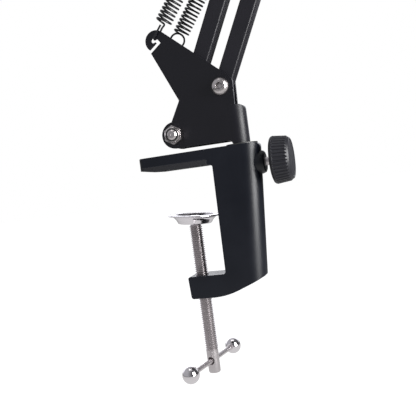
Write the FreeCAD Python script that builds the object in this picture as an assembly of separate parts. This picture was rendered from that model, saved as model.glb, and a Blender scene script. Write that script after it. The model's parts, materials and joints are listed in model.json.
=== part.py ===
import FreeCAD, Part
import math
import os
from FreeCAD import Vector

os.makedirs("parts", exist_ok=True)

# All lengths in millimetres. Z is up, X points from the jaw opening to the lock
# knob, Y runs across the clamp. The origin is on the underside of the jaw pad,
# on the clamp-screw axis. The near side plate of the bracket is on the -Y side.

# Clamp body
BODY_W = 18.4            # width across Y
BODY_TOP = 9.6          # top face
OPENING = 65.5           # jaw pad underside to lower jaw
SPINE_IN_TOP = 17.75     # inner face of the spine, at the top
SPINE_IN_LOW = 17.3      # inner face of the spine, at the bottom
BACK_X = 45.9            # back face at Z = 0
BACK_SLOPE = 0.076       # the back leans out this much per mm of height
NOSE_X = -28.1           # front end of the upper jaw
PAD_T = 3.4              # jaw pad thickness
PAD_BACK = 14.5          # rear end of the jaw pad

# Clamp screw, pressure cup and tommy bar
SCREW_R = 4.0
RUN = 0.05               # radial running clearance
CUP_TOP = -28.3          # rim of the cup when it sits level
CUP_H = 5.7
CUP_PIVOT = -32.6        # centre of the swivel ball under the cup
CUP_TILT = 5.3           # the cup hangs to one side, degrees
SEAT_BALL_R = 2.4
STEM_R = 1.6
CUP_PIN_R = 0.6
STEM_END = -39.0
CUP_R = 16.2
CUP_WALL_R = 13.4        # where the dished wall meets the flat rim
CUP_FLOOR_R = 9.3
RIM_T = 1.0
SHEET_T = 1.5            # pressed sheet of the cup
SCREW_TOP = -34.7
SCREW_END = -126.6
CROSS_Z = -118.75
TOMMY_R = 1.5
TOMMY_HALF = 30.8        # screw axis to ball centre
TOMMY_DEG = -100.0       # direction of the near ball about +Z
BALL_R = 5.1

# Swivel and lock
SWIVEL_X = 35.3
SPINDLE_R = 5.0
SPINDLE_BOTTOM = -22.0
HEAD_TOP = 29.0
WASHER_R = 9.4
WASHER_T = 0.65
LOCK_Z = -2.3
LOCK_R = 2.5             # M5 lock screw
KNOB_R = 14.2            # inner end
KNOB_R_OUT = 13.05       # outer end
KNOB_X0 = 52.1
KNOB_X1 = 64.0
RIBS = 40
RIB_DEPTH = 0.6

# Folded base bracket
PLATE_T = 2.0
PLATE_OUT = 8.0          # outer face of each side plate
BEND_X = 32.4            # centre of the bend
BEND_TOP = 33.0
SEAT = BODY_TOP + WASHER_T + 0.02
SKIRT = 12.5             # lower edge of the side plates
HOOK = (-7.2, 77.5)
HOOK_R = 6.45
LOBE_R = 8.0             # rounded lobe around the front pivot
CAVITY = (-8.6, 78.1)    # seat of the near spring in the hook

# Arm section
P1 = (-3.0, 20.4)        # lower pivot of the front bar (X, Z)
P2 = (28.5, 44.5)        # lower pivot of the rear bar (X, Z)
LEAN = 25.7              # bars lean toward +X from vertical, degrees
LINK = 300.0             # pivot to pivot along each bar
BAR_W = 10.0
BAR_WALL = 1.0
BAR_END = 5.0            # bar beyond each pivot
PLUG_T = 1.0
PIN_AT = 180.0           # spring pin along the front bar
PIN_R = 2.5
PIN_Y = 16.5
BOLT_R = 3.0             # M6
SHANK = 23.0
BUSH_R = 3.8
FLANGE_R = 4.8

ELBOW_RISE = 30.0        # lower to upper pivots of the elbow
ELBOW_MARGIN = 10.5

# Springs
COIL_R = 4.45            # mean radius of the coils
WIRE_R = 0.6
NEAR_Y = -7.0
FAR_Y = 10.6
TOP_Y = 13.5             # spring hooks on the pin
FAR_STUD = (-0.7, 77.25)
STUD_R = 1.2
NEAR_LEAD = 7.0          # loop centre to first coil, near spring
FAR_LEAD = 4.85


def vec(x, y, z):
    return Vector(x, y, z)


def cyl(radius, length, base, axis):
    return Part.makeCylinder(radius, length, Vector(*base), Vector(*axis))


def box(x0, x1, y0, y1, z0, z1):
    return Part.makeBox(x1 - x0, y1 - y0, z1 - z0, vec(x0, y0, z0))


def fuse(shapes):
    out = shapes[0]
    for other in shapes[1:]:
        out = out.fuse(other)
    return out.removeSplitter()


def save(shape, name):
    shape.exportStep("parts/" + name + ".step")


def revolve(points, base, axis):
    """Solid of revolution from (radius, height) points about axis through base."""
    wire = Part.makePolygon([vec(r, 0, h) for r, h in points + points[:1]])
    solid = Part.Face(wire).revolve(vec(0, 0, 0), vec(0, 0, 1), 360)
    turn = FreeCAD.Rotation(vec(0, 0, 1), Vector(*axis))
    solid.Placement = FreeCAD.Placement(Vector(*base), turn)
    return solid


def rounded(points):
    """Closed wire in the XZ plane; each point is (x, z, corner radius)."""
    edges = []
    last = None
    first = None
    count = len(points)
    for i in range(count):
        x, z, r = points[i]
        px, pz, _ = points[i - 1]
        nx, nz, _ = points[(i + 1) % count]
        corner = vec(x, 0, z)
        back = (vec(px, 0, pz) - corner).normalize()
        ahead = (vec(nx, 0, nz) - corner).normalize()
        if r > 0:
            half = back.getAngle(ahead) / 2
            setback = r / math.tan(half)
            a = corner + back * setback
            b = corner + ahead * setback
            mid_dir = (back + ahead).normalize()
            centre = corner + mid_dir * (r / math.sin(half))
            mid = centre - mid_dir * r
        else:
            a = corner
            b = corner
        if last is not None:
            edges.append(Part.makeLine(last, a))
        else:
            first = a
        if r > 0:
            edges.append(Part.Arc(a, mid, b).toShape())
        last = b
    edges.append(Part.makeLine(last, first))
    return Part.Wire(edges)


def plate(points, y0, y1):
    """Extrude an XZ outline from y0 to y1."""
    face = Part.Face(rounded(points))
    face.translate(vec(0, y0, 0))
    return face.extrude(vec(0, y1 - y0, 0))


def hexagon(flats, length, base, direction=1):
    """Hex prism along Y starting at base."""
    r = flats / math.sqrt(3)
    pts = []
    for k in range(7):
        a = math.radians(60 * k + 30)
        pts.append(vec(base[0] + r * math.cos(a), base[1], base[2] + r * math.sin(a)))
    return Part.Face(Part.makePolygon(pts)).extrude(vec(0, direction * length, 0))


def along_bar(pivot, distance):
    lean = math.radians(LEAN)
    return (pivot[0] + distance * math.sin(lean), pivot[1] + distance * math.cos(lean))


E1 = along_bar(P1, LINK)
E2 = along_bar(P2, LINK)
PIN = along_bar(P1, PIN_AT)


# ---------------------------------------------------------------- clamp body

def back_at(z):
    return BACK_X + BACK_SLOPE * z


def back_prism():
    """Region inside the rounded back: a slab ending in a leaning half cylinder."""
    r = BODY_W / 2
    z0 = -95.0
    z1 = 20.0
    low = vec(back_at(z0) - r, 0, z0)
    high = vec(back_at(z1) - r, 0, z1)
    axis = high - low
    rod = Part.makeCylinder(r, axis.Length, low, axis)
    pts = [vec(-60, -r, z0), vec(low.x, -r, z0), vec(high.x, -r, z1), vec(-60, -r, z1)]
    slab = Part.Face(Part.makePolygon(pts + pts[:1])).extrude(vec(0, 2 * r, 0))
    return rod.fuse(slab)


def make_clamp_body():
    clear = 0.02
    outline = [
        (NOSE_X, PAD_T, 0), (NOSE_X, BODY_TOP - 0.4, 1.6), (22.0, BODY_TOP, 0),
        (back_at(BODY_TOP) + clear, BODY_TOP, 3.0), (back_at(-69.0) + clear, -69.0, 2.2),
        (33.0, -72.4, 30.0), (16.0, -79.1, 45.0), (-5.6, -78.9, 1.6), (-6.3, -OPENING, 1.0),
        (SPINE_IN_LOW, -OPENING, 1.6), (SPINE_IN_TOP, 0, 1.6),
        (PAD_BACK, 0, 0), (PAD_BACK, PAD_T, 0),
    ]
    half = BODY_W / 2
    body = plate(outline, -half, half).common(back_prism())
    body = body.cut(cyl(SCREW_R + RUN, 30, (0, 0, -90), (0, 0, 1)))
    body = body.cut(cyl(SPINDLE_R + RUN, 40, (SWIVEL_X, 0, SPINDLE_BOTTOM - 1.0), (0, 0, 1)))
    body = body.cut(cyl(LOCK_R + RUN, 20, (SWIVEL_X, 0, LOCK_Z), (1, 0, 0)))
    body = body.cut(cyl(7.0, 20, (42.5, 0, LOCK_Z), (1, 0, 0)))
    nose = box(NOSE_X - 1, NOSE_X + 3, -half, half, -1, 20)
    keep = box(NOSE_X + 3, NOSE_X + 4, -half, half, -1, 20)
    for side in (-1, 1):
        keep = keep.fuse(cyl(3.0, 21, (NOSE_X + 3, side * (half - 3), -1), (0, 0, 1)))
    keep = keep.fuse(box(NOSE_X, NOSE_X + 3, 3 - half, half - 3, -1, 20))
    body = body.cut(nose.cut(keep))
    return body.removeSplitter()


def make_jaw_pad():
    outline = [
        (NOSE_X, PAD_T, 0), (NOSE_X, 1.7, 0.4), (-18.0, 0, 1.5),
        (PAD_BACK, 0, 0), (PAD_BACK, PAD_T, 0),
    ]
    half = BODY_W / 2
    pad = plate(outline, -half, half)
    for side in (-1, 1):
        corner = box(NOSE_X - 1, NOSE_X + 3, side * half - 3, side * half + 3, -1, 5)
        post = cyl(3.0, 6, (NOSE_X + 3, side * (half - 3), -1), (0, 0, 1))
        inner = box(NOSE_X - 1, NOSE_X + 3, side * (half - 6) - 3, side * (half - 6) + 3, -1, 5)
        pad = pad.cut(corner.cut(post).cut(inner))
    for x in (-14.5, -11.5, -8.5, -5.5, 5.5, 8.5, 11.5):
        pad = pad.cut(box(x - 0.4, x + 0.4, -half - 1, half + 1, -0.1, 0.5))
    return pad.removeSplitter()


# ------------------------------------------- clamp screw, cup and tommy bar

def tilted(shape):
    """Swing a shape that belongs to the cup about the centre of the swivel ball."""
    shape.rotate(vec(0, 0, CUP_PIVOT), vec(0, 1, 0), CUP_TILT)
    return shape


def make_pressure_cup():
    """Pressed cup with a hub that closes over the swivel ball."""
    top = CUP_TOP
    low = CUP_TOP - CUP_H
    pts = [
        (0, low), (CUP_FLOOR_R, low), (CUP_FLOOR_R + 1.3, low + 0.7), (CUP_WALL_R, top - RIM_T),
        (CUP_R, top - RIM_T), (CUP_R, top), (CUP_WALL_R - 0.6, top),
        (CUP_FLOOR_R, low + SHEET_T), (3.9, low + SHEET_T),
        (3.7, top - 1.9), (2.6, top - 0.75), (0, top - 0.75),
    ]
    cup = revolve(pts, (0, 0, 0), (0, 0, 1))
    cup = cup.cut(Part.makeSphere(SEAT_BALL_R + RUN, vec(0, 0, CUP_PIVOT)))
    return tilted(cup.cut(cyl(CUP_PIN_R, 10, (0, -5, CUP_PIVOT), (0, 1, 0))))


def make_cup_pin():
    """Cross pin that lets the cup rock on the swivel ball."""
    return tilted(cyl(CUP_PIN_R, 7.0, (0, -3.5, CUP_PIVOT), (0, 1, 0)))


def make_ball_stud():
    """Swivel ball with a stem that stands in the end of the clamp screw."""
    ball = Part.makeSphere(SEAT_BALL_R, vec(0, 0, CUP_PIVOT))
    stem = cyl(STEM_R, CUP_PIVOT - 1.0 - STEM_END, (0, 0, STEM_END), (0, 0, 1))
    hole = cyl(CUP_PIN_R + RUN, 10, (0, -5, CUP_PIVOT), (0, 1, 0))
    return fuse([ball, stem]).cut(hole)


def make_clamp_screw():
    bore = STEM_R + RUN
    pts = [
        (0, SCREW_END), (3.1, SCREW_END), (3.7, SCREW_END + 1.0), (3.7, -112.5),
        (SCREW_R, -112.1), (SCREW_R, SCREW_TOP - 0.6), (3.4, SCREW_TOP), (bore, SCREW_TOP),
        (bore, STEM_END - 0.02), (0, STEM_END - 0.02),
    ]
    screw = revolve(pts, (0, 0, 0), (0, 0, 1))
    turn = math.radians(TOMMY_DEG)
    way = (math.cos(turn), math.sin(turn), 0)
    start = (-10 * way[0], -10 * way[1], CROSS_Z)
    screw = screw.cut(cyl(TOMMY_R + RUN, 20, start, way))
    for s in (-1, 1):
        out = (s * way[0], s * way[1], 0)
        base = (2.2 * out[0], 2.2 * out[1], CROSS_Z)
        cone = Part.makeCone(TOMMY_R + RUN, 2.8, 2.0, Vector(*base), Vector(*out))
        screw = screw.cut(cone)
    return screw


def make_tommy_bar():
    turn = math.radians(TOMMY_DEG)
    way = (math.cos(turn), math.sin(turn), 0)
    half = TOMMY_HALF - BALL_R + 3.0
    rod = cyl(TOMMY_R, 2 * half, (-half * way[0], -half * way[1], CROSS_Z), way)
    balls = []
    for s in (-1, 1):
        out = Vector(s * way[0], s * way[1], 0)
        centre = out * TOMMY_HALF + vec(0, 0, CROSS_Z)
        ball = Part.makeSphere(BALL_R, centre)
        flat = centre - out * (BALL_R + 4 - 0.55)
        ball = ball.cut(Part.makeCylinder(6.0, 4.0, flat, out))
        bore = out * (TOMMY_HALF - BALL_R - 1) + vec(0, 0, CROSS_Z)
        ball = ball.cut(Part.makeCylinder(TOMMY_R, 4.0, bore, out))
        balls.append(ball)
    return rod, Part.makeCompound(balls)


# ------------------------------------------------------- swivel and its lock

def make_lock_bush():
    pts = [
        (LOCK_R + RUN, 0), (7.0, 0), (7.0, 3.5), (6.4, 5.2), (5.6, 5.7), (LOCK_R + RUN, 5.7),
    ]
    return revolve(pts, (42.5, 0, LOCK_Z), (1, 0, 0))


def make_lock_plug():
    return revolve([(0, 0), (2.1, 0), (2.4, 0.4), (2.4, 3.0), (0, 3.0)],
                   (SWIVEL_X + 4.45, 0, LOCK_Z), (1, 0, 0))


def make_lock_screw():
    start = SWIVEL_X + 4.45 + 3.02
    pts = [
        (0, start), (2.0, start), (LOCK_R, start + 0.5), (LOCK_R, KNOB_X0 + 1.5),
        (4.2, KNOB_X0 + 1.5), (4.2, KNOB_X0 + 6.5), (0, KNOB_X0 + 6.5),
    ]
    return revolve(pts, (0, 0, LOCK_Z), (1, 0, 0))


def rib_ring(radius, x):
    """Ribbed outline of the knob at one place along X."""
    pts = []
    root = radius - RIB_DEPTH
    for k in range(RIBS):
        for part, r in ((-0.36, root), (-0.2, radius), (0.2, radius), (0.36, root)):
            a = 2 * math.pi * (k + part) / RIBS
            pts.append(vec(x, r * math.cos(a), LOCK_Z + r * math.sin(a)))
    return Part.makePolygon(pts + pts[:1])


def make_lock_knob():
    """Tapered knob: smooth inner band, ribbed rim, raised ring around a flat face."""
    w = KNOB_X1 - KNOB_X0
    band = 2.1
    ribbed = Part.makeLoft(
        [rib_ring(KNOB_R, KNOB_X0 + band - 0.2), rib_ring(KNOB_R_OUT, KNOB_X1)], True, True)
    outer = revolve([
        (0, 0), (16, 0), (16, w - 2.2), (KNOB_R_OUT + 0.3, w - 2.2), (KNOB_R_OUT - 0.5, w - 1.2),
        (12.0, w - 0.3), (11.3, w), (10.5, w - 0.4), (0, w - 0.4),
    ], (KNOB_X0, 0, LOCK_Z), (1, 0, 0))
    inner = revolve([
        (0, 0), (12.3, 0), (13.4, 0.4), (14.0, 1.1), (KNOB_R, band - 0.2), (KNOB_R, band), (0, band),
    ], (KNOB_X0, 0, LOCK_Z), (1, 0, 0))
    pocket = revolve([
        (0, -1), (LOCK_R, -1), (LOCK_R, 1.5), (4.2, 1.5), (4.2, 6.5), (0, 6.5),
    ], (KNOB_X0, 0, LOCK_Z), (1, 0, 0))
    return ribbed.common(outer).fuse(inner).removeSplitter().cut(pocket)


def make_swivel_washer():
    z = BODY_TOP
    pts = [(SPINDLE_R + RUN, z), (WASHER_R, z), (WASHER_R, z + WASHER_T),
           (SPINDLE_R + RUN, z + WASHER_T)]
    return revolve(pts, (SWIVEL_X, 0, 0), (0, 0, 1))


def bend_inside(z0, z1):
    """Space inside the bend of the bracket, between two heights."""
    inner = PLATE_OUT - PLATE_T
    rod = cyl(inner, z1 - z0, (BEND_X, 0, z0), (0, 0, 1))
    return rod.fuse(box(27.5, BEND_X, -inner, inner, z0, z1))


def make_spindle():
    """Grooved spindle with a head that fills the bend of the bracket."""
    z = SPINDLE_BOTTOM
    low = SKIRT + 0.3
    pts = [
        (0, z), (SPINDLE_R - 0.8, z), (SPINDLE_R, z + 0.8), (SPINDLE_R, LOCK_Z - 6.5),
        (4.3, LOCK_Z - 5.8), (4.3, LOCK_Z + 5.8), (SPINDLE_R, LOCK_Z + 6.5),
        (SPINDLE_R, SEAT), (0, SEAT),
    ]
    stem = revolve(pts, (SWIVEL_X, 0, 0), (0, 0, 1))
    neck = cyl(SPINDLE_R, low - SEAT, (SWIVEL_X, 0, SEAT), (0, 0, 1)).common(bend_inside(SEAT, low))
    return fuse([stem, neck, bend_inside(low, HEAD_TOP)])


# ------------------------------------------------------------ base bracket

def side_outline(hooked):
    foot = [(BEND_X, SEAT, 0), (31.8, SEAT, 0), (30.7, SKIRT, 1.2), (P1[0], SKIRT, 0)]
    left = [(P1[0], 26.0, 0), (-4.1, 28.2, 0)]
    if hooked:
        top = [(2.4, 40.3, 1.0), (-11.1, 70.8, 0.4), (-11.0, 76.0, 0), (-7.2, 82.5, 0),
               (-3.1, 82.5, 0)]
        right = [(36.2, 48.2, 5.0), (35.6, BEND_TOP, 0), (BEND_X, BEND_TOP, 0)]
    else:
        top = [(1.4, 40.3, 1.0), (-6.0, 60.0, 6.0), (-5.0, 77.3, 3.0), (-2.4, 81.2, 1.5)]
        right = [(31.2, 51.8, 3.0), (34.7, 48.4, 2.0), (34.3, BEND_TOP, 0), (BEND_X, BEND_TOP, 0)]
    return foot + left + top + right


def hook_slot():
    """Slot that runs in from the edge, turns back and ends in the spring's seat."""
    y0 = -PLATE_OUT - 1
    y1 = -PLATE_OUT + PLATE_T + 1
    slot = plate([
        (-15.6, 67.2, 0), (-4.2, 75.95, 0.35), (-6.3, 78.75, 0.3), (-7.4, 78.6, 0),
        (-8.6, 77.4, 0), (-7.6, 77.1, 0.2), (-7.25, 76.45, 0.2), (-16.9, 69.05, 0),
    ], y0, y1)
    return slot.fuse(cyl(1.6, y1 - y0, (CAVITY[0], y0, CAVITY[1]), (0, 1, 0)))


def make_bend():
    """Rounded back of the folded sheet, with its top corner taken off."""
    outer = PLATE_OUT
    bend = cyl(outer, BEND_TOP - SEAT, (BEND_X, 0, SEAT), (0, 0, 1))
    bend = bend.cut(cyl(outer - PLATE_T, 60, (BEND_X, 0, 0), (0, 0, 1)))
    bend = bend.cut(box(0, BEND_X, -20, 20, 0, 60))
    reach = BEND_X + outer + 0.02
    corner = plate([
        (BEND_X - 1, SEAT - 1, 0), (reach, SEAT - 1, 0), (reach, BEND_TOP, 3.5),
        (BEND_X - 1, BEND_TOP, 0),
    ], -outer - 1, outer + 1)
    return bend.common(corner)


def make_bracket():
    outer = PLATE_OUT
    inner = PLATE_OUT - PLATE_T
    near = plate(side_outline(True), -outer, -inner)
    near = near.fuse(cyl(HOOK_R, PLATE_T, (HOOK[0], -outer, HOOK[1]), (0, 1, 0)))
    far = plate(side_outline(False), inner, outer)
    near = near.fuse(cyl(LOBE_R, PLATE_T, (P1[0], -outer, P1[1]), (0, 1, 0)))
    far = far.fuse(cyl(LOBE_R, PLATE_T, (P1[0], inner, P1[1]), (0, 1, 0)))
    near = near.cut(hook_slot())
    bracket = fuse([near, make_bend(), far])
    for p in (P1, P2):
        bracket = bracket.cut(cyl(BOLT_R + RUN, 30, (p[0], -15, p[1]), (0, 1, 0)))
    return bracket.cut(cyl(STUD_R, 10, (FAR_STUD[0], 4, FAR_STUD[1]), (0, 1, 0)))


def make_spring_stud():
    inner = PLATE_OUT - PLATE_T
    pts = [(0, inner), (STUD_R, inner), (STUD_R, 11.7), (1.8, 11.7), (1.8, 12.3),
           (1.4, 12.6), (0, 12.6)]
    return revolve(pts, (FAR_STUD[0], 0, FAR_STUD[1]), (0, 1, 0))


# ------------------------------------------------------------- fasteners

def shank_along(p, s):
    """M6 shank that runs across the plates and ends in a chamfer with a centre dimple."""
    end = SHANK
    pts = [(0, 0), (BOLT_R, 0), (BOLT_R, end - 0.9), (2.1, end), (0.7, end), (0, end - 0.4)]
    return revolve(pts, (p[0], s * PLATE_OUT, p[1]), (0, -s, 0))


def hex_bolt(p, head_side):
    """M6 hex bolt along Y with its head on head_side."""
    s = head_side
    shank = shank_along(p, s)
    head = hexagon(10.0, 4.0, (p[0], s * PLATE_OUT, p[1]), s)
    cone = Part.makeCone(7.6, 4.9, 4.0, vec(p[0], s * PLATE_OUT, p[1]), vec(0, s, 0))
    return shank.fuse(head.common(cone)).removeSplitter()


def button_screw(p, head_side):
    """M6 button-head socket screw along Y."""
    s = head_side
    shank = shank_along(p, s)
    pts = [(0, 0), (5.25, 0), (5.25, 0.7), (4.95, 1.6), (4.3, 2.4), (3.3, 3.05), (2.5, 3.3), (0, 3.3)]
    head = revolve(pts, (p[0], s * PLATE_OUT, p[1]), (0, s, 0))
    socket = hexagon(4.0, 3.0, (p[0], s * (PLATE_OUT + 1.3), p[1]), s)
    return shank.fuse(head).removeSplitter().cut(socket)


def lock_nut(p, side):
    """M6 nylon-insert nut along Y."""
    y = side * PLATE_OUT
    body = hexagon(10.0, 4.4, (p[0], y, p[1]), side)
    trim = Part.makeCone(5.1, 7.9, 4.4, vec(p[0], y, p[1]), vec(0, side, 0))
    body = body.common(trim)
    crown = Part.makeCylinder(4.7, 4.9, vec(p[0], y, p[1]), vec(0, side, 0))
    cap = Part.makeCone(4.7, 4.1, 0.9, vec(p[0], y + side * 4.9, p[1]), vec(0, side, 0))
    nut = fuse([body, crown, cap])
    return nut.cut(cyl(BOLT_R, 20, (p[0], y - side * 5, p[1]), (0, side, 0)))


# ------------------------------------------------------------- arm section

def place_on_bar(shape, pivot):
    """Move a shape modelled along +Z from the origin onto a leaning bar."""
    shape.rotate(vec(0, 0, 0), vec(0, 1, 0), LEAN)
    shape.translate(vec(pivot[0], 0, pivot[1]))
    return shape


def square_tube(with_pin):
    h = BAR_W / 2
    z0 = -BAR_END
    z1 = LINK + BAR_END
    tube = box(-h, h, -h, h, z0, z1)
    tube = tube.makeFillet(1.2, [e for e in tube.Edges if abs(e.Length - (z1 - z0)) < 0.01])
    k = h - BAR_WALL
    tube = tube.cut(box(-k, k, -k, k, z0 - 1, z1 + 1))
    for z in (0, LINK):
        tube = tube.cut(cyl(BUSH_R, 20, (0, -10, z), (0, 1, 0)))
    if with_pin:
        tube = tube.cut(cyl(PIN_R, 20, (0, -10, PIN_AT), (0, 1, 0)))
    return tube


def make_bushes():
    """Four flanged nylon bushes, two at each pivot of a bar."""
    out = []
    h = BAR_W / 2
    for z in (0, LINK):
        for s in (-1, 1):
            pts = [(BOLT_R + RUN, h - 2.6), (BUSH_R, h - 2.6), (BUSH_R, h), (FLANGE_R, h),
                   (FLANGE_R, h + 0.95), (BOLT_R + RUN, h + 0.95)]
            out.append(revolve(pts, (0, 0, z), (0, s, 0)))
    return Part.makeCompound(out)


def make_bar_plugs():
    """Two plugs pressed into the tube, flush with its ends."""
    k = BAR_W / 2 - BAR_WALL
    low = box(-k, k, -k, k, -BAR_END, -BAR_END + PLUG_T)
    high = box(-k, k, -k, k, LINK + BAR_END - PLUG_T, LINK + BAR_END)
    return Part.makeCompound([low, high])


def make_spring_pin():
    """Cross pin with a groove for each spring hook."""
    g = WIRE_R + 0.3
    pts = [(0, -PIN_Y), (2.0, -PIN_Y), (PIN_R, -PIN_Y + 0.5)]
    for y in (-TOP_Y, TOP_Y):
        pts += [(PIN_R, y - g), (PIN_R - 0.5, y - g + 0.3), (PIN_R - 0.5, y + g - 0.3), (PIN_R, y + g)]
    pts += [(PIN_R, PIN_Y - 0.5), (2.0, PIN_Y), (0, PIN_Y)]
    return revolve(pts, (0, 0, PIN_AT), (0, 1, 0))


def make_pin_collars():
    """Spacers on the cross pin between the bar and the spring hooks."""
    out = []
    for s in (-1, 1):
        pts = [(PIN_R, 5.0), (4.0, 5.0), (4.0, 11.4), (3.5, 11.9), (PIN_R, 11.9)]
        out.append(revolve(pts, (0, 0, PIN_AT), (0, s, 0)))
    return Part.makeCompound(out)


def elbow_points():
    """Pivot centres of the elbow plates: lower pair, then upper pair."""
    u1 = (E1[0] - 1.0, E1[1] + ELBOW_RISE)
    u2 = (E2[0] + 1.0, E2[1] + ELBOW_RISE)
    return E1, E2, u1, u2


def make_elbow_plate(side):
    e1, e2, u1, u2 = elbow_points()
    m = ELBOW_MARGIN
    pts = [(e1[0] - m, e1[1] - m, 8.0), (e2[0] + m, e2[1] - m - 2, 8.0),
           (u2[0] + m, u2[1] + m, 8.0), (u1[0] - m, u1[1] + m, 8.0)]
    inner = PLATE_OUT - PLATE_T
    y0 = min(side * inner, side * PLATE_OUT)
    shape = plate(pts, y0, y0 + PLATE_T)
    for p in (e1, e2, u1, u2):
        shape = shape.cut(cyl(BOLT_R + RUN, 30, (p[0], -15, p[1]), (0, 1, 0)))
    cx, cz = elbow_centre()
    return shape.cut(cyl(2.5, 30, (cx, -15, cz), (0, 1, 0)))


def elbow_centre():
    pts = elbow_points()
    return (sum(p[0] for p in pts) / 4, sum(p[1] for p in pts) / 4)


def make_elbow_spacer():
    """Shouldered spacer riveted between the elbow plates."""
    inner = PLATE_OUT - PLATE_T
    top = PLATE_OUT
    pts = [(0, -top - 1.0), (2.4, -top - 1.0), (3.6, -top - 0.4), (3.6, -top), (2.5, -top),
           (2.5, -inner), (4.5, -inner), (4.5, inner), (2.5, inner), (2.5, top),
           (3.6, top), (3.6, top + 0.4), (2.4, top + 1.0), (0, top + 1.0)]
    cx, cz = elbow_centre()
    return revolve(pts, (cx, 0, cz), (0, 1, 0))


# ---------------------------------------------------------------- springs

def make_spring(low, high, lead, ring_normal):
    """Close-wound tension spring between two hook centres, drawn as a ribbed sleeve.

    low and high are (x, y, z) of the two end-loop centres, and lead is the distance
    from the lower loop's centre to the first coil. The loops are rings:
    the lower one faces ring_normal ("across" or "flat"), the upper one sits on the
    cross pin.
    """
    a = Vector(*low)
    b = Vector(*high)
    axis = (b - a).normalize()
    span = (b - a).Length
    start = lead
    end = span - FAR_LEAD
    coils = 24
    pitch = (end - start) / coils
    pts = [(COIL_R - WIRE_R - 0.2, start)]
    for k in range(coils):
        z = start + k * pitch
        pts += [(COIL_R - 0.2, z), (COIL_R + WIRE_R, z + 0.3 * pitch),
                (COIL_R + WIRE_R, z + 0.7 * pitch)]
    pts += [(COIL_R - 0.2, end), (COIL_R - WIRE_R - 0.2, end)]
    sleeve = revolve(pts, low, axis)
    across = axis.cross(vec(0, 1, 0)).normalize()
    flat = axis.cross(across).normalize()
    facing = across if ring_normal == "across" else flat
    lower = Part.makeTorus(COIL_R, WIRE_R, a, facing)
    upper = Part.makeTorus(COIL_R, WIRE_R, b, flat)
    joined = []
    for centre, s, gap in ((a, 1, lead), (b, -1, FAR_LEAD)):
        stub = centre + axis * (s * (COIL_R - 0.3))
        joined.append(Part.makeCylinder(0.9 * WIRE_R, gap - COIL_R + 1.0, stub, axis * s))
        cross = centre + axis * (s * (gap + 0.5)) - across * COIL_R
        joined.append(Part.makeCylinder(WIRE_R, 2 * COIL_R, cross, across))
    return fuse([sleeve, lower, upper] + joined)


def spring_ends():
    lean_near = math.atan2(PIN[0] - CAVITY[0], PIN[1] - CAVITY[1])
    d = (math.sin(lean_near), math.cos(lean_near))
    contact = (CAVITY[0] + 0.85 * d[0], CAVITY[1] + 0.85 * d[1])
    near = (contact[0] + COIL_R * d[0], NEAR_Y, contact[1] + COIL_R * d[1])
    lean_far = math.atan2(PIN[0] - FAR_STUD[0], PIN[1] - FAR_STUD[1])
    f = (math.sin(lean_far), math.cos(lean_far))
    reach = COIL_R - WIRE_R - STUD_R
    far = (FAR_STUD[0] + reach * f[0], FAR_Y, FAR_STUD[1] + reach * f[1])
    hang = COIL_R - WIRE_R - (PIN_R - 0.5)
    near_top = (PIN[0] - hang * d[0], -TOP_Y, PIN[1] - hang * d[1])
    far_top = (PIN[0] - hang * f[0], TOP_Y, PIN[1] - hang * f[1])
    return near, near_top, far, far_top


def main():
    save(make_clamp_body(), "clamp_body")
    save(make_jaw_pad(), "jaw_pad")
    save(make_pressure_cup(), "pressure_cup")
    save(make_cup_pin(), "cup_pin")
    save(make_ball_stud(), "ball_stud")
    save(make_clamp_screw(), "clamp_screw")
    rod, balls = make_tommy_bar()
    save(rod, "tommy_bar")
    save(balls, "tommy_balls")
    save(make_lock_bush(), "lock_bush")
    save(make_lock_plug(), "lock_plug")
    save(make_lock_screw(), "lock_screw")
    save(make_lock_knob(), "lock_knob")
    save(make_swivel_washer(), "swivel_washer")
    save(make_spindle(), "swivel_spindle")
    save(make_bracket(), "base_bracket")
    save(make_spring_stud(), "spring_stud")
    save(hex_bolt(P1, 1), "front_pivot_bolt")
    save(lock_nut(P1, -1), "front_pivot_nut")
    save(button_screw(P2, -1), "rear_pivot_screw")
    save(lock_nut(P2, 1), "rear_pivot_nut")
    save(place_on_bar(square_tube(True), P1), "front_bar")
    save(place_on_bar(square_tube(False), P2), "rear_bar")
    save(place_on_bar(make_bushes(), P1), "front_bar_bushes")
    save(place_on_bar(make_bushes(), P2), "rear_bar_bushes")
    save(place_on_bar(make_bar_plugs(), P1), "front_bar_plugs")
    save(place_on_bar(make_bar_plugs(), P2), "rear_bar_plugs")
    save(place_on_bar(make_spring_pin(), P1), "spring_pin")
    save(place_on_bar(make_pin_collars(), P1), "spring_pin_collars")
    save(make_elbow_plate(-1), "elbow_plate_near")
    save(make_elbow_plate(1), "elbow_plate_far")
    save(make_elbow_spacer(), "elbow_spacer")
    save(hex_bolt(E1, 1), "elbow_front_bolt")
    save(lock_nut(E1, -1), "elbow_front_nut")
    save(button_screw(E2, -1), "elbow_rear_screw")
    save(lock_nut(E2, 1), "elbow_rear_nut")
    near, near_top, far, far_top = spring_ends()
    save(make_spring(near, near_top, NEAR_LEAD, "across"), "near_spring")
    save(make_spring(far, far_top, FAR_LEAD, "flat"), "far_spring")


main()
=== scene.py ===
import json
import math

import bmesh
import bpy
from mathutils import Matrix, Vector


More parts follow.
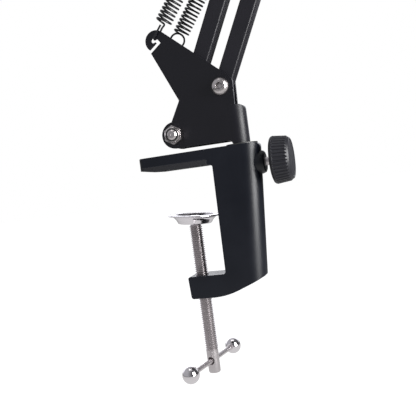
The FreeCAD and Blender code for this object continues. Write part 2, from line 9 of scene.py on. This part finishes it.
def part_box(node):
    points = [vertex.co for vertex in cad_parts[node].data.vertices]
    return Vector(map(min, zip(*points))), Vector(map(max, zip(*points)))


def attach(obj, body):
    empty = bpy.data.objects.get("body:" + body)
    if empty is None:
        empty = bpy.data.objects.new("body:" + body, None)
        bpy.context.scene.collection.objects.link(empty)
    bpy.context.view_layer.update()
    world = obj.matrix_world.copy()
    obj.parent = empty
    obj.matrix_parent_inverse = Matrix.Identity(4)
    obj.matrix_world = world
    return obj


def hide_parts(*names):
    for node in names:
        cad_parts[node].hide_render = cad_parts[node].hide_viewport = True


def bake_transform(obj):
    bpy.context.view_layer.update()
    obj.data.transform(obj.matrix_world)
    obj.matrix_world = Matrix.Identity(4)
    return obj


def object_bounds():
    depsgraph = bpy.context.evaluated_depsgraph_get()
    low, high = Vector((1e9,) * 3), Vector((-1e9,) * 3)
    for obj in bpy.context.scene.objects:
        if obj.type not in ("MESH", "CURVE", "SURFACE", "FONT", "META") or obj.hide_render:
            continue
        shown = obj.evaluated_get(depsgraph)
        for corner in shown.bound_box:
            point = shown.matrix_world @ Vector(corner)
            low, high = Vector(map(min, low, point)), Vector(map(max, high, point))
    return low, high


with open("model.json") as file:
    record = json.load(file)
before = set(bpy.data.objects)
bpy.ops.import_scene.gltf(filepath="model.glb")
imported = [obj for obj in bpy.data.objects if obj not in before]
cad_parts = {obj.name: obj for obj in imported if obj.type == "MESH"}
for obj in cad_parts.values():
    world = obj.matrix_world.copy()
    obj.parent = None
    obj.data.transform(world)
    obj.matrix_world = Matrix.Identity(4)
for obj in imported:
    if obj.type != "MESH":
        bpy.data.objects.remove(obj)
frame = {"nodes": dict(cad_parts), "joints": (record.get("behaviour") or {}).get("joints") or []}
cad_low, cad_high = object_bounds()

# Lengths below are in millimetres unless a comment says otherwise.
MM = 0.001
TAU = 2 * math.pi
Y_AXIS = Vector((0, 1, 0))
Z_AXIS = Vector((0, 0, 1))

# Springs
COIL_R = 4.45
WIRE_R = 0.6
COIL_PITCH = 2.35
NEAR_LEAD = 6.6          # centre of the lower loop to the first coil, near spring
FAR_LEAD = 4.85
LOOP_HALF = 2.4          # half width of the near spring's long loop
STEPS_PER_TURN = 22
WIRE_SIDES = 8
NEAR_SKEW = 0.095        # how far the coils lean towards the viewer
FAR_SKEW = 0.025
HOOK_IN = Vector((5.05, 0, -5.85))   # hook's seat from the bracket's upper left corner
HOOK_LIFT = 0.85         # the hook's wire above the seat
NEAR_SIDE = -7.0         # place of each spring along Y
FAR_SIDE = 10.6
GROOVE_IN = 3.0          # groove of the cross pin from its end
GROOVE_R = 2.0
STUD_R = 1.2

# Clamp screw, M8 x 1.25
THREAD_PITCH = 1.25
CREST_R = 4.0
ROOT_R = 3.27
TAIL_R = 3.7
THREAD_SIDES = 40
TAIL_LENGTH = 14.5       # plain end of the screw below the thread
THREAD_SHAPE = ((0.0, ROOT_R), (0.16, ROOT_R), (0.51, CREST_R), (0.65, CREST_R))

# Pressure cup
CUP_LEAN = 5.3           # the cup hangs to one side, degrees
CUP_TOP = 4.3            # the lip above the pivot
CUP_UNDER = -1.4         # the floor's underside
SOCKET_R = 2.45

# Studio, in metres
LOOK = (-0.27, 0.963, 0.0)       # level direction in which the camera looks
LEFT = (-0.963, -0.27, 0.0)      # the camera's left
AIM = (0.02, 0.0, 0.0)
FLOOR_GAP = 0.002
FLOOR_HALF = 6.0


# ------------------------------------------------------------------ geometry

def centre_of(node):
    low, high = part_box(node)
    return (low + high) / (2 * MM)


def new_piece(name, bm, material):
    """Turn a bmesh in millimetres into a shaded object."""
    bmesh.ops.scale(bm, vec=(MM, MM, MM), verts=bm.verts)
    bmesh.ops.recalc_face_normals(bm, faces=bm.faces)
    mesh = bpy.data.meshes.new(name)
    bm.to_mesh(mesh)
    bm.free()
    mesh.shade_smooth()
    mesh.set_sharp_from_angle(angle=math.radians(38))
    mesh.materials.append(material)
    piece = bpy.data.objects.new(name, mesh)
    bpy.context.scene.collection.objects.link(piece)
    return piece


def lathe(bm, profile, base, axis, sides=64, closed=False):
    """Revolve (radius, height) points about axis through base."""
    turn = Z_AXIS.rotation_difference(Vector(axis))
    rings = []
    for radius, height in profile:
        count = 1 if radius < 1e-6 else sides
        ring = []
        for k in range(count):
            a = TAU * k / sides
            point = Vector((radius * math.cos(a), radius * math.sin(a), height))
            ring.append(bm.verts.new(Vector(base) + turn @ point))
        rings.append(ring)
    pairs = list(zip(rings, rings[1:]))
    if closed:
        pairs.append((rings[-1], rings[0]))
    for low, high in pairs:
        for k in range(sides):
            m = (k + 1) % sides
            corners = [low[k % len(low)], low[m % len(low)],
                       high[m % len(high)], high[k % len(high)]]
            unique = list(dict.fromkeys(corners))
            if len(unique) > 2:
                bm.faces.new(unique)


def arc(cx, cz, radius, start, end, steps):
    """Points of an arc in a lathe profile, angles in degrees."""
    points = []
    for k in range(steps + 1):
        a = math.radians(start + (end - start) * k / steps)
        points.append((cx + radius * math.cos(a), cz + radius * math.sin(a)))
    return points


def sweep(bm, path, radius, sides):
    """Round wire along a path, closed at both ends."""
    tangent = (path[1] - path[0]).normalized()
    side = tangent.orthogonal().normalized()
    rings = []
    for i, point in enumerate(path):
        ahead = path[min(i + 1, len(path) - 1)] - path[max(i - 1, 0)]
        direction = ahead.normalized()
        side = tangent.rotation_difference(direction) @ side
        tangent = direction
        side = (side - tangent * side.dot(tangent)).normalized()
        other = tangent.cross(side)
        ring = []
        for k in range(sides):
            a = TAU * k / sides
            ring.append(bm.verts.new(point + radius * (side * math.cos(a) + other * math.sin(a))))
        rings.append(ring)
    for low, high in zip(rings, rings[1:]):
        for k in range(sides):
            m = (k + 1) % sides
            bm.faces.new((low[k], low[m], high[m], high[k]))
    bm.faces.new(rings[0][::-1])
    bm.faces.new(rings[-1])


def bridge(start, leaving, end, arriving, pull, steps):
    """Smooth curve between two points with given end directions."""
    points = []
    for k in range(1, steps):
        t = k / steps
        a = 2 * t ** 3 - 3 * t ** 2 + 1
        b = t ** 3 - 2 * t ** 2 + t
        c = -2 * t ** 3 + 3 * t ** 2
        d = t ** 3 - t ** 2
        points.append(start * a + leaving * (b * pull) + end * c + arriving * (d * pull))
    return points


# ------------------------------------------------------------------- springs

def long_loop():
    """Local points of the near spring's loop: front leg, bend through the hook, rear leg."""
    half = LOOP_HALF
    bend = half - COIL_R
    points = [Vector((4.9, 0.1, half - 0.5)), Vector((3.2, 0, half - 0.2)), Vector((0, 0, half))]
    for k in range(13):
        a = math.pi * k / 12
        points.append(Vector((bend - half * math.sin(a), 0, half * math.cos(a))))
    return points + [Vector((0, 0, -half)), Vector((3.2, 0, 0.1 - half))]


def round_loop(climb, join):
    """Local points of a round end loop and the wire that leads from it into the coils.

    climb is the rise of the coil per radian where it starts, at distance join from the
    loop's centre.
    """
    points = []
    steps = 36
    for k in range(steps + 1):
        a = math.radians(-372 + 356 * k / steps)
        aside = 0.75 - 1.1 * k / steps
        points.append(Vector((COIL_R * math.cos(a), COIL_R * math.sin(a), aside)))
    q = COIL_R * math.sqrt(0.5)
    leaving = Vector((0.15, 0.85, -0.5)).normalized()
    arriving = Vector((climb, q, q)).normalized()
    return points + bridge(points[-1], leaving, Vector((join, q, -q)), arriving, 5.0, 8)


def spring_path(low, high, lead, hooked, skew):
    """Centre line of a tension spring; local points are (along, u, v).

    skew is how far each coil leans: its near side sits higher by skew times the distance.
    """
    axis = (high - low).normalized()
    span = (high - low).length
    u = axis.cross(Y_AXIS).normalized()
    v = axis.cross(u)
    length = span - lead - FAR_LEAD
    first = -math.radians(75 if hooked else 45)
    last = -math.radians(135)
    turns = round(length / COIL_PITCH) + (last - first) / TAU
    rise = length / turns / TAU
    steps = int(turns * STEPS_PER_TURN)
    q = math.sqrt(0.5)

    def coil(k):
        a = first + TAU * turns * k / steps
        near_side = COIL_R * math.sin(a)
        along = lead + length * k / steps + skew * near_side
        return Vector((along, COIL_R * math.cos(a), near_side))

    if hooked:
        head = long_loop()
        arriving = (coil(1) - coil(0)).normalized()
        head += bridge(head[-1], Vector((1, 0, 0)), coil(0), arriving, 3.6, 8)
    else:
        head = round_loop(rise + skew * q * COIL_R, coil(0).x)
    tail = round_loop(rise - skew * q * COIL_R, span - coil(steps).x)
    local = head + [coil(k) for k in range(steps + 1)]
    local += [Vector((span - p.x, -p.y, p.z)) for p in reversed(tail)]
    return [low + axis * p.x + u * p.y + v * p.z for p in local]


def spring_ends():
    """Loop centres of both springs, from the hook, the stud and the cross pin."""
    pin = centre_of("spring_pin")
    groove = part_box("spring_pin")[1].y / MM - GROOVE_IN
    low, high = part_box("base_bracket")
    seat = Vector((low.x / MM, 0, high.z / MM)) + HOOK_IN
    stud = centre_of("spring_stud")
    stud.y = 0
    d = (pin - seat).normalized()
    f = (pin - stud).normalized()
    hang = COIL_R - WIRE_R - GROOVE_R
    reach = COIL_R - WIRE_R - STUD_R
    near = seat + d * (HOOK_LIFT + COIL_R) + Y_AXIS * NEAR_SIDE
    far = stud + f * reach + Y_AXIS * FAR_SIDE
    near_top = pin - d * hang - Y_AXIS * groove
    far_top = pin - f * hang + Y_AXIS * groove
    return near, near_top, far, far_top


def make_spring(name, low, high, lead, hooked, skew, material):
    """Wound spring in place of the CAD one, between the base and the arm."""
    bm = bmesh.new()
    sweep(bm, spring_path(low, high, lead, hooked, skew), WIRE_R, WIRE_SIDES)
    piece = new_piece(name + "_coil", bm, material)
    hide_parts(name)
    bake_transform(piece)


# -------------------------------------------------------------- clamp screw

def thread(bm, low, high):
    """Right-hand thread between two heights, closed at both ends."""
    points = len(THREAD_SHAPE)
    turns = int((high - low) / THREAD_PITCH) + 4
    columns = []
    for j in range(THREAD_SIDES):
        a = TAU * j / THREAD_SIDES
        column = []
        for k in range(turns * points):
            part, radius = THREAD_SHAPE[k % points]
            z = low + THREAD_PITCH * (k // points - 2 + part + j / THREAD_SIDES)
            if z <= low or z >= high:
                radius = ROOT_R
            z = min(max(z, low), high)
            column.append(bm.verts.new((radius * math.cos(a), radius * math.sin(a), z)))
        columns.append(column)
    for j in range(THREAD_SIDES):
        wraps = j == THREAD_SIDES - 1
        shift = points if wraps else 0
        other = columns[0 if wraps else j + 1]
        for k in range(turns * points - 1 - shift):
            near, far = columns[j], other
            bm.faces.new((near[k], far[k + shift], far[k + shift + 1], near[k + 1]))
    bmesh.ops.remove_doubles(bm, verts=bm.verts, dist=1e-4)
    rim = [e for e in bm.edges if e.is_boundary]
    bmesh.ops.holes_fill(bm, edges=rim, sides=0)
    loose = [v for v in bm.verts if not v.link_faces]
    bmesh.ops.delete(bm, geom=loose, context="VERTS")


def drilled_tail(end, top, hole_z, way):
    """Plain end of the screw with its countersunk cross hole, as a mesh."""
    tail = bmesh.new()
    rounded = [(0, end), (2.9, end), (3.35, end + 0.25), (3.62, end + 0.7), (TAIL_R, end + 1.3)]
    neck = [(TAIL_R, top - 0.5), (ROOT_R - 0.1, top), (0, top)]
    lathe(tail, rounded + neck, (0, 0, 0), Z_AXIS, 72)
    cut = bmesh.new()
    hole = [(0, -6), (3.98, -6), (1.6, -2.2), (1.6, 2.2), (3.98, 6), (0, 6)]
    lathe(cut, hole, (0, 0, hole_z), way, 48)
    objects = []
    for name, bm in (("screw_tail", tail), ("screw_hole", cut)):
        bmesh.ops.recalc_face_normals(bm, faces=bm.faces)
        mesh = bpy.data.meshes.new(name)
        bm.to_mesh(mesh)
        bm.free()
        item = bpy.data.objects.new(name, mesh)
        bpy.context.scene.collection.objects.link(item)
        objects.append(item)
    body, cutter = objects
    drill = body.modifiers.new("drill", "BOOLEAN")
    drill.operation = "DIFFERENCE"
    drill.solver = "EXACT"
    drill.object = cutter
    graph = bpy.context.evaluated_depsgraph_get()
    drilled = bpy.data.meshes.new_from_object(body.evaluated_get(graph))
    bpy.data.objects.remove(body)
    bpy.data.objects.remove(cutter)
    return drilled


def make_screw(material):
    """Threaded screw with a drilled plain end, in place of the CAD one."""
    low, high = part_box("clamp_screw")
    way = joint_axis("tommy_slide")
    end = low.z / MM
    top = high.z / MM
    bm = bmesh.new()
    thread(bm, end + TAIL_LENGTH, top - 0.6)
    tip = [(0, top - 1.2), (ROOT_R, top - 1.2), (3.35, top - 0.5), (3.2, top), (0, top)]
    lathe(bm, tip, (0, 0, 0), Z_AXIS, 48)
    bm.from_mesh(drilled_tail(end, end + TAIL_LENGTH + 0.4, centre_of("tommy_bar").z, way))
    piece = new_piece("threaded_screw", bm, material)
    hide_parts("clamp_screw")
    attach(piece, "screw")
    return piece


def joint_axis(name):
    return Vector(joints[name]["axis"]).normalized()


# ------------------------------------------------------------- pressure cup

def make_cup(material):
    """Pressed cup with a rolled lip and a hub over the swivel ball."""
    pivot = centre_of("ball_stud")
    pivot.z = joints["cup_tilt"]["pos_m"][2] / MM
    lean = math.radians(CUP_LEAN)
    up = Vector((math.sin(lean), 0, math.cos(lean)))
    top = CUP_TOP
    low = CUP_UNDER
    opening = math.degrees(math.asin(low / SOCKET_R))
    profile = [(0, SOCKET_R)] + arc(0, 0, SOCKET_R, 80, opening, 14)
    profile += [(9.0, low)] + arc(9.3, low + 1.3, 1.3, -84, -32, 5)
    profile += [(11.4, low + 2.4), (12.7, top - 1.9)] + arc(13.9, top - 1.9, 0.9, 170, 95, 4)
    profile += arc(15.75, top - 0.5, 0.48, -88, 90, 8)
    profile += [(13.4, top)] + arc(12.9, top - 0.8, 0.8, 80, 140, 4)
    profile += arc(9.2, low + 2.5, 1.0, -42, -90, 4)
    profile += [(4.6, low + 1.5)] + arc(4.6, low + 2.3, 0.8, -90, -180, 4)
    profile += [(3.7, top - 1.9), (3.45, top - 1.2), (2.9, top - 0.85),
                (2.2, top - 0.75), (0, top - 0.75)]
    bm = bmesh.new()
    lathe(bm, profile, pivot, up, 96)
    piece = new_piece("pressed_cup", bm, material)
    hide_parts("pressure_cup")
    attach(piece, "cup")


def make_insert(node, side, body, material):
    """Nylon ring in the crown of a lock nut."""
    low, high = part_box(node)
    centre = centre_of(node)
    centre.y = (high.y if side > 0 else low.y) / MM
    bm = bmesh.new()
    section = [(3.02, -0.4), (3.95, -0.4), (3.95, 0.05), (3.7, 0.2), (3.3, 0.2), (3.02, 0.05)]
    lathe(bm, section, centre, (0, side, 0), 48, closed=True)
    piece = new_piece(node + "_insert", bm, material)
    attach(piece, body)


# ----------------------------------------------------------------- materials

class Graph:
    """Short way to add and link shader nodes."""

    def __init__(self, tree):
        self.tree = tree

    def add(self, kind, values=(), **settings):
        node = self.tree.nodes.new(kind)
        for key, value in settings.items():
            setattr(node, key, value)
        for key, value in dict(values).items():
            self.put(node.inputs[key], value)
        return node

    def put(self, socket, value):
        if isinstance(value, bpy.types.NodeSocket):
            self.tree.links.new(value, socket)
        else:
            socket.default_value = value

    def ramp(self, value, low, high, out_low, out_high):
        """value from low..high to out_low..out_high, clamped."""
        node = self.add("ShaderNodeMapRange", {
            "Value": value, "From Min": low, "From Max": high,
            "To Min": out_low, "To Max": out_high})
        return node.outputs["Result"]

    def math(self, operation, a, b):
        return self.add("ShaderNodeMath", {0: a, 1: b}, operation=operation).outputs[0]

    def scale(self, vector, factor):
        node = self.add("ShaderNodeVectorMath", {0: vector, 3: factor}, operation="SCALE")
        return node.outputs[0]

    def dot(self, a, b):
        node = self.add("ShaderNodeVectorMath", {0: a, 1: b}, operation="DOT_PRODUCT")
        return node.outputs["Value"]

    def noise(self, place, scale, detail):
        values = {"Vector": place, "Scale": scale, "Detail": detail}
        return self.add("ShaderNodeTexNoise", values).outputs[0]

    def mix(self, share, a, b):
        node = self.add("ShaderNodeMix", {0: share, 6: a, 7: b}, data_type="RGBA")
        return node.outputs[2]


def grey(value, warmth=0.0):
    return (value * (1 + warmth), value, value * (1 - warmth))


def make_material(name, colour, rough, metallic=0.0, grain=(1.0, 0.01), stretch=(1, 1, 1),
                  mottle=0.12, rough_spread=0.04, edge=0.3, edge_highlight_gain=1.0, recess_shade_reach=0.0,
                  specular=0.5):
    """Surface with fine grain, uneven tone and roughness, and rounded edges with a painted
    highlight.

    grain is (features per mm, depth in mm); stretch scales the grain along X, Y, Z;
    edge is the radius of the rounding in mm and edge_highlight_gain how much paler the painted
    highlight makes the edges;
    recess_shade_reach is how far in mm the painted shade reaches that darkens the base colour in
    recesses.
    """
    material = bpy.data.materials.new(name)
    material.use_nodes = True
    g = Graph(material.node_tree)
    shader = material.node_tree.nodes["Principled BSDF"]
    place = g.add("ShaderNodeTexCoord").outputs["Object"]
    scaled = g.add("ShaderNodeVectorMath", {0: place, 1: (1 / MM,) * 3},
                   operation="MULTIPLY").outputs[0]
    drawn = g.add("ShaderNodeVectorMath", {0: scaled, 1: stretch},
                  operation="MULTIPLY").outputs[0]
    fine = g.noise(drawn, grain[0], 3.0)
    broad = g.noise(scaled, 0.06, 4.0)
    speck = g.noise(scaled, 0.9, 2.0)
    tone = g.ramp(g.math("ADD", g.math("MULTIPLY", broad, 0.7), g.math("MULTIPLY", speck, 0.3)),
                  0.3, 0.7, 1 - mottle, 1 + mottle)
    base = g.scale(colour, tone)
    bump = g.add("ShaderNodeBump", {"Height": fine, "Strength": 1.0, "Distance": grain[1] * MM})
    # Painted shade: ambient occlusion darkens the base colour in recesses.
    if recess_shade_reach > 0:
        recess_shade = g.add("ShaderNodeAmbientOcclusion", {"Distance": recess_shade_reach * MM}, samples=8)
        base = g.scale(base, g.ramp(recess_shade.outputs["AO"], 0.25, 0.85, 0.05, 1.0))
    # Painted highlight: where the rounded normal turns away from the true one, the base colour is
    # made paler, standing in for light catching the edges.
    if edge > 0:
        soft = g.add("ShaderNodeBevel", {"Radius": edge * MM}, samples=6).outputs[0]
        true = g.add("ShaderNodeNewGeometry").outputs["Normal"]
        painted_edge_highlight = g.ramp(g.dot(soft, true), 0.995, 0.86, 0.0, 1.0)
        base = g.scale(base, g.math("ADD", 1.0, g.math("MULTIPLY", painted_edge_highlight, edge_highlight_gain)))
        g.put(bump.inputs["Normal"], soft)
    g.put(shader.inputs["Normal"], bump.outputs[0])
    g.put(shader.inputs["Base Color"], base)
    g.put(shader.inputs["Roughness"],
          g.ramp(broad, 0.3, 0.7, rough - rough_spread, rough + rough_spread))
    g.put(shader.inputs["Metallic"], metallic)
    g.put(shader.inputs["Specular IOR Level"], specular)
    return material


# Every slot's colour and roughness, and what sets its surface apart.
SURFACES = {
    "clamp_paint": ((0.0012, 0.0022, 0.0060), 0.37, dict(
        grain=(1.6, 0.006), specular=0.44, edge=0.5, edge_highlight_gain=1.5)),
    "bracket_paint": ((0.0086, 0.0083, 0.0140), 0.41, dict(grain=(1.6, 0.005), edge_highlight_gain=1.5)),
    "bar_paint": ((0.0052, 0.0047, 0.0080), 0.41, dict(grain=(1.6, 0.004), edge=0.25)),
    "pad_rubber": ((0.0085, 0.0085, 0.0115), 0.6, dict(grain=(3.0, 0.02), edge_highlight_gain=0.5)),
    "black_nylon": (grey(0.02), 0.45, dict(grain=(3.0, 0.008), edge=0.15)),
    "white_nylon": (grey(0.7, 0.02), 0.4, dict(grain=(3.0, 0.008), edge=0.15, edge_highlight_gain=0.0)),
    "knob_plastic": ((0.0085, 0.0085, 0.0122), 0.46, dict(
        grain=(4.0, 0.012), edge=0.25, edge_highlight_gain=0.8)),
    "cup_chrome": ((0.79, 0.76, 0.79), 0.15, dict(
        metallic=1.0, grain=(0.5, 0.004), mottle=0.03, rough_spread=0.03, edge=0.0)),
    "ball_chrome": ((0.78, 0.75, 0.77), 0.1, dict(
        metallic=1.0, grain=(0.4, 0.002), mottle=0.02, rough_spread=0.02, edge=0.0)),
    "screw_steel": ((0.6, 0.565, 0.575), 0.33, dict(
        metallic=1.0, grain=(0.6, 0.004), stretch=(1, 1, 4), mottle=0.08,
        rough_spread=0.05, edge=0.0)),
    # The zinc fasteners get painted shade in their recesses, which darkens the hex sockets.
    "fastener_zinc": ((0.62, 0.58, 0.58), 0.28, dict(
        metallic=1.0, grain=(1.2, 0.01), mottle=0.08, rough_spread=0.06, edge=0.25,
        edge_highlight_gain=0.2, recess_shade_reach=2.0)),
    "spring_black": ((0.007, 0.007, 0.009), 0.36, dict(grain=(2.0, 0.006), edge=0.0)),
}


def paint_frame():
    """Give every CAD node the material of its slot."""
    for node in frame["nodes"].values():
        name = node.data.materials[0].name.split(".")[0]
        node.material_slots[0].link = "OBJECT"
        node.material_slots[0].material = materials[name]


# --------------------------------------------------------------------- stage

CAMERA_AT = Vector((117.38, -384.57, -10.92))
CAMERA_TO = Vector((9.265, 0.0, -25.608))
CAMERA_ROLL = -7.54      # degrees
CAMERA_LENS = 56.9       # on a 36 mm sensor


def make_camera():
    ahead = (CAMERA_TO - CAMERA_AT).normalized()
    right = ahead.cross(Z_AXIS).normalized()
    up = right.cross(ahead)
    c = math.cos(math.radians(CAMERA_ROLL))
    s = math.sin(math.radians(CAMERA_ROLL))
    across = right * c + up * s
    above = up * c - right * s
    data = bpy.data.cameras.new("camera")
    data.lens = CAMERA_LENS
    data.sensor_width = 36.0
    data.clip_start = 0.01
    data.clip_end = 50.0
    camera = bpy.data.objects.new("camera", data)
    pose = Matrix((across, above, -ahead)).transposed().to_4x4()
    pose.translation = CAMERA_AT * MM
    camera.matrix_world = pose
    bpy.context.scene.collection.objects.link(camera)
    bpy.context.scene.camera = camera


def make_softbox(name, place, aim, width, height, radiance):
    """Rectangular light at place (metres), facing aim, with a given radiance."""
    data = bpy.data.lights.new(name, "AREA")
    data.shape = "RECTANGLE"
    data.size = width
    data.size_y = height
    data.energy = radiance * width * height * math.pi
    light = bpy.data.objects.new(name, data)
    light.location = place
    light.rotation_mode = "QUATERNION"
    light.rotation_quaternion = (Vector(aim) - Vector(place)).to_track_quat("-Z", "Y")
    light.visible_camera = False
    bpy.context.scene.collection.objects.link(light)
    return light


def light_only(light, pieces, state):
    """Include or exclude pieces from what a light shines on."""
    group = bpy.data.collections.new(light.name + "_pieces")
    for piece in pieces:
        group.objects.link(piece)
    light.light_linking.receiver_collection = group
    for entry in group.collection_objects:
        entry.light_linking.link_state = state


def make_lights():
    """Side lights at the right, of which two belong to one piece each, and a dim top."""
    bracket = frame["nodes"]["base_bracket"]
    key = make_softbox("key_right", (0.84, -0.42, 0.10), AIM, 0.5, 1.1, 16.5)
    light_only(key, [bracket, screw], "EXCLUDE")
    bend = make_softbox("bend_right", (0.93, -0.12, 0.12), AIM, 0.42, 1.0, 11.5)
    light_only(bend, [bracket], "INCLUDE")
    thread_side = make_softbox("thread_right", (0.84, -0.42, 0.10), AIM, 0.4, 1.1, 6.0)
    light_only(thread_side, [screw], "INCLUDE")
    make_softbox("top", (0.0, 0.1, 0.95), AIM, 0.6, 0.6, 1.3)


def backdrop(g, way):
    """White behind the object as the camera sees it, pale grey in other directions."""
    return g.ramp(g.dot(way, LOOK), 0.55, 0.85, 0.84, 1.0)


def make_world():
    """A backdrop for the camera; the object is lit from a dimmer room, brighter at its left."""
    world = bpy.data.worlds.new("studio")
    world.use_nodes = True
    bpy.context.scene.world = world
    tree = world.node_tree
    tree.nodes.clear()
    g = Graph(tree)
    way = g.add("ShaderNodeTexCoord").outputs["Generated"]
    height = g.add("ShaderNodeSeparateXYZ", {0: way}).outputs["Z"]
    band = g.math("MULTIPLY", g.ramp(height, 0.085, 0.13, 0.0, 1.0),
                  g.ramp(height, 0.25, 0.4, 1.0, 0.2))
    low_back = g.math("MULTIPLY", g.ramp(g.dot(way, LOOK), 0.5, 0.95, 0.0, 2.6), band)
    side = g.ramp(g.dot(way, LEFT), -0.3, 0.7, 0.0, 0.38)
    sky = g.ramp(height, 0.5, 1.0, 0.0, 0.12)
    light = g.math("ADD", g.math("ADD", g.math("ADD", low_back, side), sky), 0.08)
    studio = g.add("ShaderNodeBackground", {"Color": (0.97, 0.98, 1.03, 1), "Strength": light})
    white = g.add("ShaderNodeBackground", {"Color": (1, 1, 1, 1), "Strength": backdrop(g, way)})
    seen = g.add("ShaderNodeLightPath").outputs["Is Camera Ray"]
    both = g.add("ShaderNodeMixShader", {0: seen, 1: studio.outputs[0], 2: white.outputs[0]})
    g.add("ShaderNodeOutputWorld", {0: both.outputs[0]})


def make_floor():
    """Pale floor below the lowest point the screw reaches; to all rays but the camera's it glows
    as a painted pool of light, brightest near the object.
    """
    drop = joints["cup_travel"]["range_m"][0]
    level = cad_low.z + drop - FLOOR_GAP
    half = FLOOR_HALF
    bm = bmesh.new()
    corners = [(-half, -half), (half, -half), (half, half), (-half, half)]
    bm.faces.new([bm.verts.new((x, y, level)) for x, y in corners])
    mesh = bpy.data.meshes.new("floor")
    bm.to_mesh(mesh)
    bm.free()
    material = bpy.data.materials.new("floor")
    material.use_nodes = True
    g = Graph(material.node_tree)
    shader = material.node_tree.nodes["Principled BSDF"]
    place = g.add("ShaderNodeTexCoord").outputs["Object"]
    cloud = g.noise(place, 3.0, 2.0)
    g.put(shader.inputs["Base Color"], g.mix(cloud, (0.20, 0.20, 0.20, 1), (0.22, 0.22, 0.22, 1)))
    g.put(shader.inputs["Roughness"], 0.8)
    g.put(shader.inputs["Specular IOR Level"], 0.0)
    g.put(shader.inputs["Emission Color"], (1, 1, 1, 1))
    ray = g.add("ShaderNodeNewGeometry").outputs["Incoming"]
    seen_as = backdrop(g, g.scale(ray, -1.0))
    g.put(shader.inputs["Emission Strength"], g.math("SUBTRACT", seen_as, 0.04))
    away = g.add("ShaderNodeVectorMath", {0: place}, operation="LENGTH").outputs["Value"]
    # Painted light: rays other than the camera's see the floor glow, brightest near the object
    # and fading outwards.
    painted_light_pool = g.add("ShaderNodeEmission", {
        "Color": (1, 1, 1, 1), "Strength": g.ramp(away, 0.15, 0.9, 0.75, 0.08)})
    seen = g.add("ShaderNodeLightPath").outputs["Is Camera Ray"]
    both = g.add("ShaderNodeMixShader", {0: seen, 1: painted_light_pool.outputs[0], 2: shader.outputs[0]})
    g.put(material.node_tree.nodes["Material Output"].inputs["Surface"], both.outputs[0])
    mesh.materials.append(material)
    floor = bpy.data.objects.new("floor", mesh)
    bpy.context.scene.collection.objects.link(floor)


joints = {j["name"]: j for j in frame["joints"]}
materials = {name: make_material(name, colour, rough, **rest)
             for name, (colour, rough, rest) in SURFACES.items()}
paint_frame()

near, near_top, far, far_top = spring_ends()
make_spring("near_spring", near, near_top, NEAR_LEAD, True, NEAR_SKEW, materials["spring_black"])
make_spring("far_spring", far, far_top, FAR_LEAD, False, FAR_SKEW, materials["spring_black"])
screw = make_screw(materials["screw_steel"])
make_cup(materials["cup_chrome"])
for nut, side, body in (("front_pivot_nut", -1, "base"), ("rear_pivot_nut", 1, "base"),
                        ("elbow_front_nut", -1, "elbow"), ("elbow_rear_nut", 1, "elbow")):
    make_insert(nut, side, body, materials["black_nylon"])

make_camera()
make_lights()
make_world()
make_floor()
bpy.context.scene.view_settings.view_transform = "Standard"
bpy.context.scene.cycles.denoising_prefilter = "NONE"
